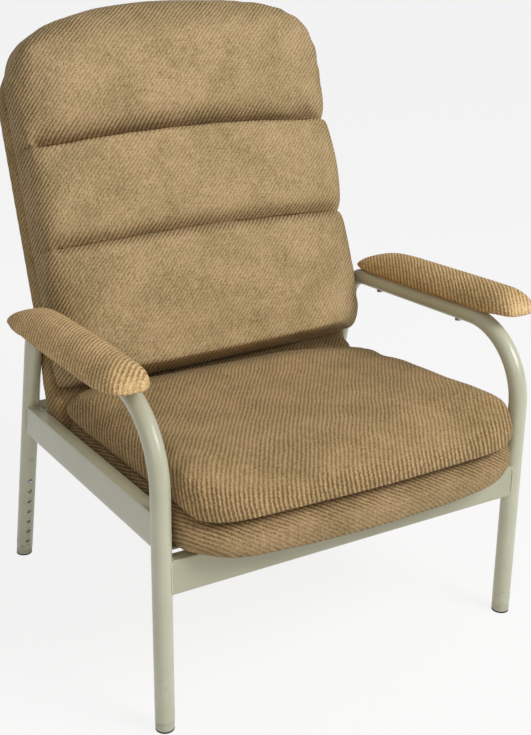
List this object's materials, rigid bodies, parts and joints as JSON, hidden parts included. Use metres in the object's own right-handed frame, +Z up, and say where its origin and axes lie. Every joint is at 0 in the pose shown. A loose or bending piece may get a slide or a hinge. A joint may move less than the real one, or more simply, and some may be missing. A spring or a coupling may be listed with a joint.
{
  "type": "patient chair",
  "caption": "High-backed patient chair with a bent steel tube frame, padded arms, a pillowed back, a layered seat and telescopic legs held by snap buttons.",
  "frame": {"origin": "on the floor, under the middle of the chair's box", "axes": "+Z up, +Y from the seat's front to the back, +X to the right of someone who looks from the front"},
  "size_m": [0.84, 0.8499, 1.0851],
  "materials": {
    "paint": "gloss powder coat",
    "steel": "zinc plated",
    "rubber": "satin, in the colour of the frame",
    "nylon": "satin",
    "plywood": "bare",
    "fabric": "woven cord",
    "fabric_side": "woven cord"
  },
  "bodies": {
    "frame": {"side_tube_left": "paint", "side_tube_right": "paint", "side_rail_left": "paint", "side_rail_right": "paint", "front_rail": "paint", "rear_rail": "paint", "seat_bearer_left": "paint", "seat_bearer_right": "paint", "back_upright_left": "paint", "back_upright_right": "paint", "stop_rivets": "paint", "leg_bush_front_left": "nylon", "leg_bush_front_right": "nylon", "leg_bush_rear_left": "nylon", "leg_bush_rear_right": "nylon", "seat_board": "plywood", "seat_base_pad": "fabric_side", "seat_cushion": "fabric", "seat_bolts": "steel", "back_board": "plywood", "back_panel_pad": "fabric_side", "back_cushion": "fabric", "back_bolts": "steel", "rail_bolts": "steel", "arm_board_left": "plywood", "arm_board_right": "plywood", "arm_pad_left": "fabric", "arm_pad_right": "fabric", "arm_screws": "steel"},
    "leg_front_left": {"leg_extension_front_left": "paint", "leg_glide_front_left": "nylon", "leg_ferrule_front_left": "rubber", "snap_spring_front_left": "steel"},
    "button_front_left": {"snap_button_front_left": "steel"},
    "leg_front_right": {"leg_extension_front_right": "paint", "leg_glide_front_right": "nylon", "leg_ferrule_front_right": "rubber", "snap_spring_front_right": "steel"},
    "button_front_right": {"snap_button_front_right": "steel"},
    "leg_rear_left": {"leg_extension_rear_left": "paint", "leg_glide_rear_left": "nylon", "leg_ferrule_rear_left": "rubber", "snap_spring_rear_left": "steel"},
    "button_rear_left": {"snap_button_rear_left": "steel"},
    "leg_rear_right": {"leg_extension_rear_right": "paint", "leg_glide_rear_right": "nylon", "leg_ferrule_rear_right": "rubber", "snap_spring_rear_right": "steel"},
    "button_rear_right": {"snap_button_rear_right": "steel"}
  },
  "joints": [
    {"name": "front_left_leg_slide", "type": "slide", "parent": "frame", "child": "leg_front_left", "axis": [0, 0, -1], "range_m": [0, 0.15]},
    {"name": "front_left_button_press", "type": "slide", "parent": "leg_front_left", "child": "button_front_left", "axis": [0, -1, 0], "range_m": [0, 0.005], "stiffness_N_per_m": 1500, "springref_m": -0.004, "deforming": ["snap_spring_front_left"]},
    {"name": "front_right_leg_slide", "type": "slide", "parent": "frame", "child": "leg_front_right", "axis": [0, 0, -1], "range_m": [0, 0.15]},
    {"name": "front_right_button_press", "type": "slide", "parent": "leg_front_right", "child": "button_front_right", "axis": [0, -1, 0], "range_m": [0, 0.005], "stiffness_N_per_m": 1500, "springref_m": -0.004, "deforming": ["snap_spring_front_right"]},
    {"name": "rear_left_leg_slide", "type": "slide", "parent": "frame", "child": "leg_rear_left", "axis": [0, 0.2538, -0.9673], "range_m": [0, 0.15508]},
    {"name": "rear_left_button_press", "type": "slide", "parent": "leg_rear_left", "child": "button_rear_left", "axis": [0, 0.9673, 0.2538], "range_m": [0, 0.005], "stiffness_N_per_m": 1500, "springref_m": -0.004, "deforming": ["snap_spring_rear_left"]},
    {"name": "rear_right_leg_slide", "type": "slide", "parent": "frame", "child": "leg_rear_right", "axis": [0, 0.2538, -0.9673], "range_m": [0, 0.15508]},
    {"name": "rear_right_button_press", "type": "slide", "parent": "leg_rear_right", "child": "button_rear_right", "axis": [0, 0.9673, 0.2538], "range_m": [0, 0.005], "stiffness_N_per_m": 1500, "springref_m": -0.004, "deforming": ["snap_spring_rear_right"]}
  ]
}
